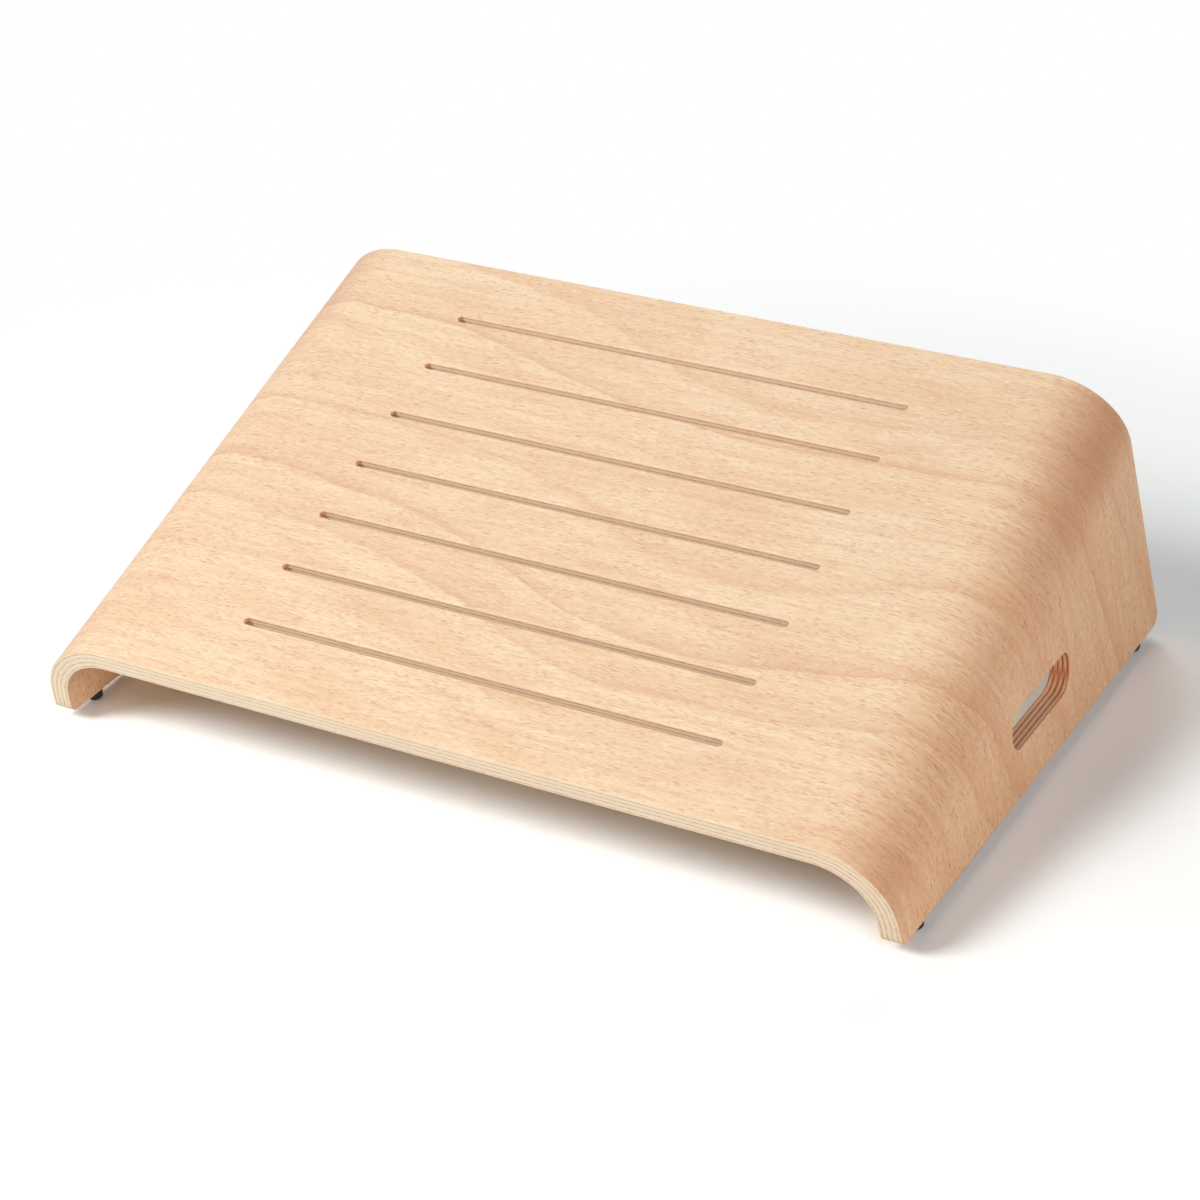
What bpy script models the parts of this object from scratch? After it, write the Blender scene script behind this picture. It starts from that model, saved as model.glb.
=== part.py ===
"""Desk footrest: a bent wedge of moulded beech plywood on four rubber feet.

Nine veneers are glued and pressed round one former into a shell like an upside-down U. Its flat
top is the tread, with a big round bend to a side wall on the left and on the right. The shell is
then cut to a wedge, low in front and tall behind, and routed with slots and two hand holes.

Axes: +X is the right side, +Y the back, +Z up. The origin is on the floor, under the middle of
the footrest. Lengths are in metres.
"""
from math import atan2, cos, pi, radians, sin, tan

import bmesh
import bpy
from mathutils import Vector

# The tread and the bends, on the outer face
SLOPE = radians(20.0)          # how far the tread tilts, low at the front
TREAD_LENGTH = 0.350           # front edge to back edge, along the slope
TREAD_FLAT_WIDTH = 0.420       # flat width between the two bends
BEND_RADIUS = 0.046
WALL_DRAFT = radians(5.0)      # how far the side walls lean outwards
FRONT_HEIGHT = 0.0612          # floor to the tread's front edge

# The veneers, each one layer of the shell
FACE_VENEER = 0.0010           # the outer and the inner face
INNER_VENEER = 0.0013          # each layer between them
VENEER_COUNT = 9               # odd, so that both faces have the same grain
GLUE_LINE = 0.0001

# The saw cuts and the eased edges
FRONT_CUT_LEAN = radians(5.0)  # the front cut leans this far from square to the tread
CORNER_RADIUS = 0.007          # on the corners of each wall's base
ARRIS = 0.0007                 # on the edges of both faces

# The slots across the tread
SLOT_COUNT = 7
SLOT_PITCH = 0.0425
SLOT_LENGTH = 0.2876
SLOT_WIDTH = 0.005

# The hand hole in each side wall
HAND_HOLE_LENGTH = 0.085
HAND_HOLE_HEIGHT = 0.0255
HAND_HOLE_RISE = 0.042         # from the wall's base to the middle of the hole

# The rubber feet under the walls, each with a stem pushed up into a drilled hole
FOOT_DIAMETER = 0.0092
FOOT_HEIGHT = 0.0070           # floor to the wall's base
FOOT_ROUNDING = 0.0025         # on the foot's lower edge
FOOT_INSET = 0.029             # from the end of the wall's base to the foot's middle
STEM_DIAMETER = 0.0044
STEM_LENGTH = 0.0080
FIT_GAP = 0.0003               # between a foot and the wood that it touches

# Fineness of the round shapes
BEND_STEPS = 12
HOLE_END_STEPS = 8             # per half circle of a slot or a hand hole
CORNER_STEPS = 5
ARRIS_STEPS = 2
FOOT_SIDES = 20
FOOT_ROUNDING_STEPS = 4
STEM_HOLE_SIDES = 20

OVERCUT = 0.010                # how far a blank or a cutter runs past the wood

SHELL_THICKNESS = (
    2 * FACE_VENEER + (VENEER_COUNT - 2) * INNER_VENEER + (VENEER_COUNT - 1) * GLUE_LINE
)
BEND_ANGLE = pi / 2 - WALL_DRAFT
BACK_HEIGHT = FRONT_HEIGHT + TREAD_LENGTH * sin(SLOPE)

BEECH_FACE = ("beech_face", (0.80, 0.58, 0.37), 0.45)
BEECH_CROSS = ("beech_crossband", (0.58, 0.38, 0.23), 0.60)
RUBBER = ("black_rubber", (0.015, 0.015, 0.016), 0.70)


def clear_scene():
    for old in list(bpy.data.objects):
        bpy.data.objects.remove(old, do_unlink=True)


def make_material(name, colour, roughness):
    material = bpy.data.materials.new(name)
    material.use_nodes = True
    shader = material.node_tree.nodes["Principled BSDF"]
    shader.inputs["Base Color"].default_value = (*colour, 1.0)
    shader.inputs["Roughness"].default_value = roughness
    shader.inputs["Metallic"].default_value = 0.0
    material.diffuse_color = (*colour, 1.0)
    return material


def make_empty(name, parent=None):
    empty = bpy.data.objects.new(name, None)
    bpy.context.collection.objects.link(empty)
    empty.parent = parent
    return empty


def make_object(name, shape, parent):
    """Turn a bmesh into an object, with its faces pointing out."""
    bmesh.ops.recalc_face_normals(shape, faces=shape.faces)
    mesh = bpy.data.meshes.new(name)
    shape.to_mesh(mesh)
    shape.free()
    piece = bpy.data.objects.new(name, mesh)
    bpy.context.collection.objects.link(piece)
    piece.parent = parent
    return piece


def mark_cutter(cutter):
    cutter.hide_render = True
    cutter.display_type = "WIRE"
    return cutter


def add_prism(shape, outline, run):
    """Add the outline's flat face to a bmesh and extrude it along run."""
    corners = [shape.verts.new(point) for point in outline]
    face = shape.faces.new(corners)
    grown = bmesh.ops.extrude_face_region(shape, geom=[face])["geom"]
    moved = [item for item in grown if isinstance(item, bmesh.types.BMVert)]
    bmesh.ops.translate(shape, verts=moved, vec=run)


def from_slope(along, above):
    """Side view: turn a place on the slope into (y, z), measured from the tread's front edge."""
    y = along * cos(SLOPE) - above * sin(SLOPE)
    z = FRONT_HEIGHT + along * sin(SLOPE) + above * cos(SLOPE)
    return Vector((y, z))


def wall_outer_x(y, z):
    """The right wall's outer face at a place in the side view."""
    above = -y * sin(SLOPE) + (z - FRONT_HEIGHT) * cos(SLOPE)
    bend_end_x = TREAD_FLAT_WIDTH / 2 + BEND_RADIUS * sin(BEND_ANGLE)
    bend_end_depth = BEND_RADIUS * (1 - cos(BEND_ANGLE))
    return bend_end_x + (-above - bend_end_depth) * tan(WALL_DRAFT)


def base_ends():
    """Where the front cut and the back cut meet the level base of the walls, as y."""
    drop = FRONT_HEIGHT - FOOT_HEIGHT
    front_depth = drop / (cos(SLOPE) + tan(FRONT_CUT_LEAN) * sin(SLOPE))
    back_depth = (BACK_HEIGHT - FOOT_HEIGHT) / cos(SLOPE)
    front = from_slope(-front_depth * tan(FRONT_CUT_LEAN), -front_depth)
    back = from_slope(TREAD_LENGTH, -back_depth)
    return front.x, back.x


def rounded_corner(corner, start, end, radius, steps):
    """Arc points that round a corner between the directions of two other points."""
    to_start = (start - corner).normalized()
    to_end = (end - corner).normalized()
    half = to_start.angle(to_end) / 2
    centre = corner + (to_start + to_end).normalized() * radius / sin(half)
    first = corner + to_start * radius / tan(half) - centre
    last = corner + to_end * radius / tan(half) - centre
    begin = atan2(first.y, first.x)
    turn = (atan2(last.y, last.x) - begin + pi) % (2 * pi) - pi
    angles = [begin + turn * step / steps for step in range(steps + 1)]
    return [centre + radius * Vector((cos(a), sin(a))) for a in angles]


def stadium(length, width, steps):
    """Outline of a slot with round ends, centred on zero, its long way along the first axis."""
    radius = width / 2
    reach = length / 2 - radius
    points = []
    for centre, begin in ((reach, -pi / 2), (-reach, pi / 2)):
        for step in range(steps + 1):
            angle = begin + pi * step / steps
            points.append((centre + radius * cos(angle), radius * sin(angle)))
    return points


def shell_line(depth):
    """Front view: (x, above) along the shell from left base to right base, below the outer face."""
    radius = BEND_RADIUS - depth
    right = []
    for step in range(BEND_STEPS + 1):
        angle = BEND_ANGLE * step / BEND_STEPS
        right.append((TREAD_FLAT_WIDTH / 2 + radius * sin(angle), radius * cos(angle) - BEND_RADIUS))
    x, above = right[-1]
    wall = BACK_HEIGHT / cos(SLOPE)
    right.append((x + wall * sin(WALL_DRAFT), above - wall * cos(WALL_DRAFT)))
    left = [(-x, above) for x, above in reversed(right)]
    return left + right


def make_blank(name, depth, thickness, slope_frame):
    """One veneer as it leaves the press: bent, and not yet cut to shape."""
    front = -FRONT_HEIGHT * tan(FRONT_CUT_LEAN) - OVERCUT
    run = Vector((0, TREAD_LENGTH + OVERCUT - front, 0))
    shape = bmesh.new()
    rows = []
    for line in (shell_line(depth), shell_line(depth + thickness)):
        rows.append([shape.verts.new((x, front, above)) for x, above in line])
    outer, inner = rows
    end_faces = []
    for i in range(len(outer) - 1):
        end_faces.append(shape.faces.new((outer[i], outer[i + 1], inner[i + 1], inner[i])))
    grown = bmesh.ops.extrude_face_region(shape, geom=end_faces)["geom"]
    moved = [item for item in grown if isinstance(item, bmesh.types.BMVert)]
    bmesh.ops.translate(shape, verts=moved, vec=run)
    return make_object(name, shape, slope_frame)


def make_side_outline(footrest):
    """The wedge seen from the side, as a block across the whole width; the shell is cut to it."""
    base_front, base_back = base_ends()
    front_top = from_slope(OVERCUT * tan(FRONT_CUT_LEAN), OVERCUT)
    back_top = from_slope(TREAD_LENGTH, OVERCUT)
    front_base = Vector((base_front, FOOT_HEIGHT))
    back_base = Vector((base_back, FOOT_HEIGHT))
    outline = [front_top]
    outline += rounded_corner(front_base, front_top, back_base, CORNER_RADIUS, CORNER_STEPS)
    outline += rounded_corner(back_base, front_base, back_top, CORNER_RADIUS, CORNER_STEPS)
    outline.append(back_top)
    half_width = wall_outer_x(base_back, 0) + OVERCUT
    shape = bmesh.new()
    add_prism(shape, [(-half_width, y, z) for y, z in outline], Vector((2 * half_width, 0, 0)))
    return mark_cutter(make_object("side_outline", shape, footrest))


def make_slot_cutter(slope_frame):
    shape = bmesh.new()
    run = Vector((0, 0, -(SHELL_THICKNESS + 2 * OVERCUT)))
    for index in range(SLOT_COUNT):
        along = TREAD_LENGTH / 2 + (index - (SLOT_COUNT - 1) / 2) * SLOT_PITCH
        outline = stadium(SLOT_LENGTH, SLOT_WIDTH, HOLE_END_STEPS)
        add_prism(shape, [(x, along + s, OVERCUT) for x, s in outline], run)
    return mark_cutter(make_object("slot_cutter", shape, slope_frame))


def make_hand_hole_cutter(footrest):
    """One bar right across the footrest, which cuts the hole in both walls."""
    base_front, base_back = base_ends()
    middle = Vector(((base_front + base_back) / 2, FOOT_HEIGHT + HAND_HOLE_RISE))
    half_width = wall_outer_x(base_back, 0) + OVERCUT
    outline = stadium(HAND_HOLE_LENGTH, HAND_HOLE_HEIGHT, HOLE_END_STEPS)
    points = [(-half_width, middle.x + y, middle.y + z) for y, z in outline]
    shape = bmesh.new()
    add_prism(shape, points, Vector((2 * half_width, 0, 0)))
    return mark_cutter(make_object("hand_hole_cutter", shape, footrest))


def foot_places():
    """Name and (x, y) of each foot, under the middle of its wall's thickness."""
    base_front, base_back = base_ends()
    half_wall = SHELL_THICKNESS / cos(WALL_DRAFT) / 2
    places = {}
    for end, y in (("front", base_front + FOOT_INSET), ("rear", base_back - FOOT_INSET)):
        x = wall_outer_x(y, FOOT_HEIGHT) - half_wall
        places[f"foot_{end}_left"] = (-x, y)
        places[f"foot_{end}_right"] = (x, y)
    return places


def make_stem_hole_cutter(footrest):
    shape = bmesh.new()
    radius = STEM_DIAMETER / 2 + FIT_GAP
    depth = OVERCUT + STEM_LENGTH + FIT_GAP
    for x, y in foot_places().values():
        ring = []
        for side in range(STEM_HOLE_SIDES):
            angle = 2 * pi * side / STEM_HOLE_SIDES
            ring.append((x + radius * cos(angle), y + radius * sin(angle), FOOT_HEIGHT - OVERCUT))
        add_prism(shape, ring, Vector((0, 0, depth)))
    return mark_cutter(make_object("stem_hole_cutter", shape, footrest))


def cut(piece, operation, cutter):
    modifier = piece.modifiers.new(cutter.name, "BOOLEAN")
    modifier.operation = operation
    modifier.solver = "EXACT"
    modifier.object = cutter


def apply_cuts(piece):
    """Replace the blank's mesh with the cut one."""
    evaluated = piece.evaluated_get(bpy.context.evaluated_depsgraph_get())
    finished = bpy.data.meshes.new_from_object(evaluated)
    piece.modifiers.clear()
    piece.data = finished


def outward(point):
    """The way that the shell's outer face looks at a point of the shell, on the slope's axes."""
    centre = max(-TREAD_FLAT_WIDTH / 2, min(point.x, TREAD_FLAT_WIDTH / 2))
    angle = atan2(abs(point.x - centre), point.z + BEND_RADIUS)
    angle = min(angle, BEND_ANGLE)
    side = 1 if point.x > centre else -1
    return Vector((side * sin(angle), 0, cos(angle)))


def ease_arrises(piece, face_side):
    """Round the edges of a face veneer's bare side: 1 for its outer side, -1 for its inner."""
    shape = bmesh.new()
    shape.from_mesh(piece.data)
    shape.normal_update()
    bare = set()
    for face in shape.faces:
        look = outward(face.calc_center_median())
        if face.normal.dot(look) * face_side > 0.9:
            bare.add(face)
    edges = [edge for edge in shape.edges if sum(face in bare for face in edge.link_faces) == 1]
    size = min(ARRIS, 0.8 * FACE_VENEER)
    bmesh.ops.bevel(
        shape, geom=edges, offset=size, segments=ARRIS_STEPS, profile=0.5,
        affect="EDGES", clamp_overlap=True,
    )
    shape.to_mesh(piece.data)
    shape.free()


def make_veneers(slope_frame, cutters):
    """The nine layers from the outer face inwards, all cut by the same saw and router."""
    face_wood = make_material(*BEECH_FACE)
    cross_wood = make_material(*BEECH_CROSS)
    veneers = []
    depth = 0.0
    for number in range(1, VENEER_COUNT + 1):
        is_face = number in (1, VENEER_COUNT)
        thickness = FACE_VENEER if is_face else INNER_VENEER
        if is_face:
            kind = "outer_face" if number == 1 else "inner_face"
        else:
            kind = "cross" if number % 2 == 0 else "long"
        veneer = make_blank(f"veneer_{number}_{kind}", depth, thickness, slope_frame)
        cut(veneer, "INTERSECT", cutters["outline"])
        for cutter in cutters["openings"]:
            cut(veneer, "DIFFERENCE", cutter)
        veneer.data.materials.append(cross_wood if kind == "cross" else face_wood)
        veneers.append(veneer)
        depth += thickness + GLUE_LINE
    bpy.context.view_layer.update()
    for veneer in veneers:
        apply_cuts(veneer)
    ease_arrises(veneers[0], 1)
    ease_arrises(veneers[-1], -1)
    for veneer in veneers:
        veneer.data.shade_smooth()
        veneer.data.set_sharp_from_angle(angle=radians(25))
    return veneers


def foot_profile():
    """(radius, z) of a foot from the floor up: rounded head, then the stem."""
    head = FOOT_DIAMETER / 2
    rounding = min(FOOT_ROUNDING, head, FOOT_HEIGHT - FIT_GAP)
    points = []
    for step in range(FOOT_ROUNDING_STEPS + 1):
        angle = pi / 2 * step / FOOT_ROUNDING_STEPS
        points.append((head - rounding * (1 - sin(angle)), rounding * (1 - cos(angle))))
    head_top = FOOT_HEIGHT - FIT_GAP
    points.append((head, head_top))
    points.append((STEM_DIAMETER / 2, head_top))
    points.append((STEM_DIAMETER / 2, FOOT_HEIGHT + STEM_LENGTH))
    return points


def make_foot(name, x, y, material, footrest):
    shape = bmesh.new()
    rings = []
    for radius, z in foot_profile():
        ring = []
        for side in range(FOOT_SIDES):
            angle = 2 * pi * side / FOOT_SIDES
            ring.append(shape.verts.new((radius * cos(angle), radius * sin(angle), z)))
        rings.append(ring)
    for lower, upper in zip(rings, rings[1:]):
        for side in range(FOOT_SIDES):
            after = (side + 1) % FOOT_SIDES
            shape.faces.new((lower[side], lower[after], upper[after], upper[side]))
    shape.faces.new(reversed(rings[0]))
    shape.faces.new(rings[-1])
    foot = make_object(name, shape, footrest)
    foot.location = (x, y, 0)
    foot.data.materials.append(material)
    foot.data.shade_smooth()
    foot.data.set_sharp_from_angle(angle=radians(35))
    return foot


def depth_middle(pieces):
    """Halfway between the foremost and the rearmost point of the pieces."""
    bpy.context.view_layer.update()
    ys = [(piece.matrix_world @ vertex.co).y for piece in pieces for vertex in piece.data.vertices]
    return (min(ys) + max(ys)) / 2


def main():
    clear_scene()
    footrest = make_empty("footrest")
    slope_frame = make_empty("slope_frame", footrest)
    slope_frame.location = (0, 0, FRONT_HEIGHT)
    slope_frame.rotation_euler = (SLOPE, 0, 0)
    cutters = {
        "outline": make_side_outline(footrest),
        "openings": [
            make_slot_cutter(slope_frame),
            make_hand_hole_cutter(footrest),
            make_stem_hole_cutter(footrest),
        ],
    }
    pieces = make_veneers(slope_frame, cutters)
    rubber = make_material(*RUBBER)
    for name, (x, y) in foot_places().items():
        pieces.append(make_foot(name, x, y, rubber, footrest))
    footrest.location.y = -depth_middle(pieces)
    bpy.context.view_layer.update()
    print("pieces", len(pieces), "shell thickness", round(SHELL_THICKNESS, 5))


main()
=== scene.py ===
# %% [markdown]
# # A desk footrest pressed from beech veneers
#
# The real object is one sheet of moulded plywood. Nine thin beech veneers are glued, laid over a
# former and pressed, so that the sheet bends into a tread with a wall at each side. Then a saw cuts
# it to a wedge, and a router cuts seven slots and two hand holes. Four rubber feet are pushed into
# drilled holes under the walls.
#
# This lesson goes the same way as the workshop: press, saw, rout, ease the edges, lacquer. It starts
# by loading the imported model, which says where every piece is and is never moved.

from math import atan2, cos, degrees, hypot, pi, radians, sin, tan

import bmesh
import bpy
from mathutils import Matrix, Vector


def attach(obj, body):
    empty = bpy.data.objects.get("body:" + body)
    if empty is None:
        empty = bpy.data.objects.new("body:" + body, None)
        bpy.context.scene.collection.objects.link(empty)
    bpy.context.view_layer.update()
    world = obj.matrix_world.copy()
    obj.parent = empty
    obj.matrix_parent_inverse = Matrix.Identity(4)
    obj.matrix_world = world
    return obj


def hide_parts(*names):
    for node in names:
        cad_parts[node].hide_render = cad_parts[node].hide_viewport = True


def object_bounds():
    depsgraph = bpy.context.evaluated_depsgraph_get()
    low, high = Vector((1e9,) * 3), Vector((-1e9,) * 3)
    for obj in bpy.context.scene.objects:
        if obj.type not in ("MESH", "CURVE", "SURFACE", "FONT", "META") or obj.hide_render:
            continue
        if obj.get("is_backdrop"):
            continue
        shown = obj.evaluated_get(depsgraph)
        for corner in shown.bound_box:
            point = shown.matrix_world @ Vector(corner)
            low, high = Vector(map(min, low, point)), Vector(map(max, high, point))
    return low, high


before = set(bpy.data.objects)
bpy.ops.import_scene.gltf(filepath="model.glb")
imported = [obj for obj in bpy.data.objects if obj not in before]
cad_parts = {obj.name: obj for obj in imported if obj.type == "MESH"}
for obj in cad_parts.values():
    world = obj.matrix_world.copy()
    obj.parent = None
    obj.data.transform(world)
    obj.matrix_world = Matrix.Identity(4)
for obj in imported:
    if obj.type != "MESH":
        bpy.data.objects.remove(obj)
cad_low, cad_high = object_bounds()
print("pieces in the packed model:", len(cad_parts))
print("its size in mm:", [round(1000 * side, 1) for side in cad_high - cad_low])

# %% [markdown]
# ## The camera
#
# The camera stands to the front right and looks down on the tread. A long lens keeps the far edge of
# the tread almost as wide as the near one. The three angles are easier to read than one rotation
# matrix, so the camera is turned by them one after another: round the room, down, and a touch of
# roll about its own line of sight.

# %% Set up the camera
CAMERA_PLACE = (0.64843, -1.24998, 0.81872)
CAMERA_AZIMUTH = radians(27.54)
CAMERA_ELEVATION = radians(28.58)
CAMERA_ROLL = radians(-0.456)
LENS_MM = 84.26

camera = bpy.data.objects.new("camera", bpy.data.cameras.new("camera"))
bpy.context.scene.collection.objects.link(camera)
camera.data.sensor_width = 36.0
camera.data.lens = LENS_MM
turn = Matrix.Rotation(CAMERA_AZIMUTH, 4, "Z")
tilt = Matrix.Rotation(pi / 2 - CAMERA_ELEVATION, 4, "X")
roll = Matrix.Rotation(CAMERA_ROLL, 4, "Z")
camera.matrix_world = Matrix.Translation(CAMERA_PLACE) @ turn @ tilt @ roll
bpy.context.scene.camera = camera
bpy.context.scene.view_settings.view_transform = "Standard"
print("camera to the middle of the tread:", round(camera.location.length, 3), "m")

# %% [markdown]
# ## The sizes of the pressed shell
#
# These are the sizes that the shell is made to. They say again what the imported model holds, because
# the pieces made here have finer bends and rounder edges than its solids, and have to lie exactly on
# them. Lengths are in metres.

# %% Driving sizes
SLOPE = radians(20.0)
TREAD_LENGTH = 0.350
TREAD_FLAT_WIDTH = 0.420
BEND_RADIUS = 0.046
WALL_DRAFT = radians(5.0)
FRONT_HEIGHT = 0.0612
FRONT_EDGE_Y = -0.194685       # where the tread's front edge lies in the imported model

FACE_VENEER = 0.0010
INNER_VENEER = 0.0013
VENEER_COUNT = 9
GLUE_LINE = 0.0001

FRONT_CUT_LEAN = radians(5.0)
CORNER_RADIUS = 0.007
ARRIS = 0.0007

SLOT_COUNT = 7
SLOT_PITCH = 0.0425
SLOT_LENGTH = 0.2876
SLOT_WIDTH = 0.005

HAND_HOLE_LENGTH = 0.085
HAND_HOLE_HEIGHT = 0.0255
HAND_HOLE_RISE = 0.042

FOOT_DIAMETER = 0.0092
FOOT_HEIGHT = 0.0070
FOOT_ROUNDING = 0.0025
FOOT_INSET = 0.029
STEM_DIAMETER = 0.0044
STEM_LENGTH = 0.0080
FIT_GAP = 0.0003

BEND_ANGLE = pi / 2 - WALL_DRAFT
SHELL_THICKNESS = (
    2 * FACE_VENEER + (VENEER_COUNT - 2) * INNER_VENEER + (VENEER_COUNT - 1) * GLUE_LINE
)
BACK_HEIGHT = FRONT_HEIGHT + TREAD_LENGTH * sin(SLOPE)
print("shell thickness in mm:", round(1000 * SHELL_THICKNESS, 2))

# %% [markdown]
# How finely a round shape is divided is a choice of its own. A bend that reads as smooth in a close
# picture needs a step about every two degrees.

# %% How finely the round shapes are divided
BEND_STEPS = 44
HOLE_END_STEPS = 18
CORNER_STEPS = 10
ARRIS_STEPS = 4
FOOT_SIDES = 56
FOOT_ROUNDING_STEPS = 8
STEM_HOLE_SIDES = 32
OVERCUT = 0.010                # how far a blank or a cutter runs past the wood
print("one step round a bend, in degrees:", round(degrees(BEND_ANGLE) / BEND_STEPS, 2))

# %% [markdown]
# ## Two ways to say where a point is
#
# The tread slopes, so the shell is easiest to draw on axes that slope with it: x across, s up along
# the slope, and n square to the tread. The veneer itself has a third set of axes, which it had when
# it lay flat: how far across, how far along, and how deep in the stack. Wood grain runs along those,
# round the bend and down the wall, so every point of the finished mesh is asked where it lay then.

# %% The axes of the slope and of the flat veneer
slope_to_row = Matrix.Translation((0, FRONT_EDGE_Y, FRONT_HEIGHT)) @ Matrix.Rotation(SLOPE, 4, "X")
row_to_slope = slope_to_row.inverted()
HALF_FLAT = TREAD_FLAT_WIDTH / 2


def bend_angle_at(point):
    """How far round the bend a point on the slope's axes lies: 0 on the tread, BEND_ANGLE on a wall."""
    past = abs(point.x) - HALF_FLAT
    if past <= 0:
        return 0.0
    return min(atan2(past, max(point.z + BEND_RADIUS, 0.0)), BEND_ANGLE)


def outward(point):
    """The way that the outer face looks near a point, on the slope's axes."""
    angle = bend_angle_at(point)
    return Vector((sin(angle) if point.x > 0 else -sin(angle), 0, cos(angle)))


def flat_place(point):
    """Where a point of the shell lay in the flat stack: across, along, and depth below the face."""
    side = 1 if point.x > 0 else -1
    angle = bend_angle_at(point)
    past = max(abs(point.x) - HALF_FLAT, 0.0)
    above = point.z + BEND_RADIUS
    depth = BEND_RADIUS - (past * sin(angle) + above * cos(angle))
    down = past * cos(angle) - above * sin(angle)
    beyond = down if angle > 0 else abs(point.x) - HALF_FLAT
    return Vector((side * (HALF_FLAT + BEND_RADIUS * angle + beyond), point.y, depth))


probe = flat_place(Vector((HALF_FLAT + BEND_RADIUS, 0.1, -BEND_RADIUS)))
print("a point level with the bend's middle lay at", [round(1000 * v, 1) for v in probe], "mm")

# %% [markdown]
# ## Small tools of the mesh workshop
#
# A bmesh is Blender's mesh while it is being worked on. These helpers turn one into an object, push
# a flat outline into a solid bar, and use that bar as a saw or a router bit. The Boolean modifier
# does the cutting, and its exact solver copes with cutters that pass right through nine thin sheets.

# %% Helpers that make objects and cut them


def make_object(name, shape):
    bmesh.ops.recalc_face_normals(shape, faces=shape.faces)
    mesh = bpy.data.meshes.new(name)
    shape.to_mesh(mesh)
    shape.free()
    made = bpy.data.objects.new(name, mesh)
    bpy.context.scene.collection.objects.link(made)
    return made


def push_out(shape, faces, run):
    """Extrude flat faces by run, into a solid."""
    grown = bmesh.ops.extrude_face_region(shape, geom=faces)["geom"]
    moved = [item for item in grown if isinstance(item, bmesh.types.BMVert)]
    bmesh.ops.translate(shape, verts=moved, vec=run)


def make_bar(name, outlines, run):
    """Solid bars in one object, each with an outline as its end and run as its length."""
    shape = bmesh.new()
    for outline in outlines:
        end = shape.faces.new([shape.verts.new(point) for point in outline])
        push_out(shape, [end], run)
    return make_object(name, shape)


def cut(piece, operation, cutter):
    modifier = piece.modifiers.new(cutter.name, "BOOLEAN")
    modifier.operation = operation
    modifier.solver = "EXACT"
    modifier.object = cutter


def apply_cuts(piece):
    evaluated = piece.evaluated_get(bpy.context.evaluated_depsgraph_get())
    finished = bpy.data.meshes.new_from_object(evaluated)
    piece.modifiers.clear()
    piece.data = finished

# %% [markdown]
# ## The press
#
# One veneer as it leaves the press is a bent strip of constant thickness. Its end is drawn as two
# rows of points, one for each side of the veneer, and the row of quads between them is extruded along
# the slope. Every veneer has its own depth, so its bend has its own radius, and they nest.

# %% Press one veneer


def shell_line(depth):
    """Points across the shell, from left base to right base, at a depth below the outer face."""
    radius = BEND_RADIUS - depth
    right = []
    for step in range(BEND_STEPS + 1):
        angle = BEND_ANGLE * step / BEND_STEPS
        right.append((HALF_FLAT + radius * sin(angle), radius * cos(angle) - BEND_RADIUS))
    x, above = right[-1]
    wall = BACK_HEIGHT / cos(SLOPE)
    right.append((x + wall * sin(WALL_DRAFT), above - wall * cos(WALL_DRAFT)))
    left = [(-x, above) for x, above in reversed(right)]
    return left + right


def press_veneer(name, depth, thickness):
    front = -FRONT_HEIGHT * tan(FRONT_CUT_LEAN) - OVERCUT
    shape = bmesh.new()
    outer = [shape.verts.new((x, front, above)) for x, above in shell_line(depth)]
    inner = [shape.verts.new((x, front, above)) for x, above in shell_line(depth + thickness)]
    ends = []
    for i in range(len(outer) - 1):
        ends.append(shape.faces.new((outer[i], outer[i + 1], inner[i + 1], inner[i])))
    push_out(shape, ends, Vector((0, TREAD_LENGTH + OVERCUT - front, 0)))
    bmesh.ops.transform(shape, matrix=slope_to_row, verts=shape.verts)
    return make_object(name, shape)


print("points across the outer face:", len(shell_line(0.0)))

# %% [markdown]
# ## The saw
#
# Seen from the side the footrest is a wedge: a low front, a square-cut back, and a level base with
# rounded corners. The outline is drawn in the side view, once, and becomes a block as wide as the
# whole shell. What lies inside the block stays.

# %% Draw the wedge in the side view


def side_place(along, above):
    """A place on the slope as (y, z) in the side view."""
    point = slope_to_row @ Vector((0, along, above))
    return Vector((point.y, point.z))


def base_ends():
    """The y of the front end and of the back end of the level base."""
    front_depth = (FRONT_HEIGHT - FOOT_HEIGHT) / (cos(SLOPE) + tan(FRONT_CUT_LEAN) * sin(SLOPE))
    back_depth = (BACK_HEIGHT - FOOT_HEIGHT) / cos(SLOPE)
    front = side_place(-front_depth * tan(FRONT_CUT_LEAN), -front_depth)
    back = side_place(TREAD_LENGTH, -back_depth)
    return front.x, back.x


def rounded_corner(corner, start, end, radius):
    """Arc points that round a corner between the directions of two other points."""
    to_start = (start - corner).normalized()
    to_end = (end - corner).normalized()
    half = to_start.angle(to_end) / 2
    centre = corner + (to_start + to_end).normalized() * radius / sin(half)
    first = corner + to_start * radius / tan(half) - centre
    last = corner + to_end * radius / tan(half) - centre
    begin = atan2(first.y, first.x)
    sweep = (atan2(last.y, last.x) - begin + pi) % (2 * pi) - pi
    angles = [begin + sweep * step / CORNER_STEPS for step in range(CORNER_STEPS + 1)]
    return [centre + radius * Vector((cos(a), sin(a))) for a in angles]


def wall_outer_x(y, z):
    """The right wall's outer face at a place in the side view."""
    above = (row_to_slope @ Vector((0, y, z))).z
    bend_end_x = HALF_FLAT + BEND_RADIUS * sin(BEND_ANGLE)
    bend_end_depth = BEND_RADIUS * (1 - cos(BEND_ANGLE))
    return bend_end_x + (-above - bend_end_depth) * tan(WALL_DRAFT)


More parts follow.
